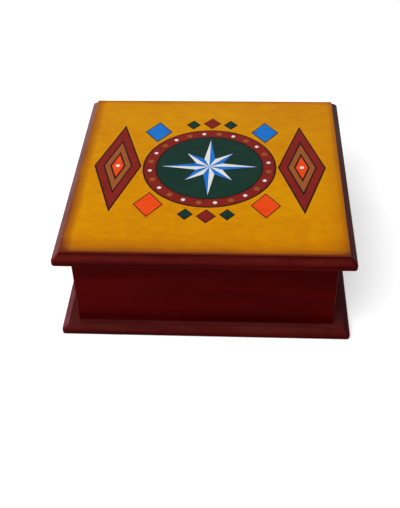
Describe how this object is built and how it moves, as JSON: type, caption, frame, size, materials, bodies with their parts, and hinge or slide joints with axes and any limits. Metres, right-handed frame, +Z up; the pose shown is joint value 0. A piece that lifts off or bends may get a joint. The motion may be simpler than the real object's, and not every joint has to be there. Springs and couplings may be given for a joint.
{
  "type": "keepsake box",
  "caption": "Square varnished wooden keepsake box: moulded base board, rebated walls and a moulded lid with a raised decorated panel, swinging up on butt hinges at the back.",
  "frame": {"origin": "middle of the base board's underside", "axes": "+Z up, -Y towards the front wall, +X to the right seen from the front"},
  "size_m": [0.201, 0.2, 0.0735],
  "materials": {
    "red_varnished_wood": "glossy mahogany-red varnish",
    "yellow_varnished_wood": "yellow stain shaded to brown at the edges, under varnish",
    "felt": "short-napped wool felt",
    "steel": "bright zinc-plated steel",
    "hinge_brass": "polished, slightly aged brass"
  },
  "bodies": {
    "case": {"base_board": "red_varnished_wood", "front_wall": "red_varnished_wood", "back_wall": "red_varnished_wood", "left_wall": "red_varnished_wood", "right_wall": "red_varnished_wood", "floor_lining": "felt", "base_screws": "steel", "corner_brads": "steel", "left_hinge_wall_leaf": "hinge_brass", "left_hinge_pin": "hinge_brass", "left_hinge_wall_screws": "hinge_brass", "right_hinge_wall_leaf": "hinge_brass", "right_hinge_pin": "hinge_brass", "right_hinge_wall_screws": "hinge_brass"},
    "lid": {"lid_board": "red_varnished_wood", "lid_panel": "yellow_varnished_wood", "left_hinge_lid_leaf": "hinge_brass", "left_hinge_lid_screws": "hinge_brass", "right_hinge_lid_leaf": "hinge_brass", "right_hinge_lid_screws": "hinge_brass"}
  },
  "joints": [
    {"name": "lid_hinge", "type": "hinge", "parent": "case", "child": "lid", "pos_m": [0, 0.0928, 0.0635], "axis": [-1, 0, 0], "range_deg": [0, 103]}
  ]
}
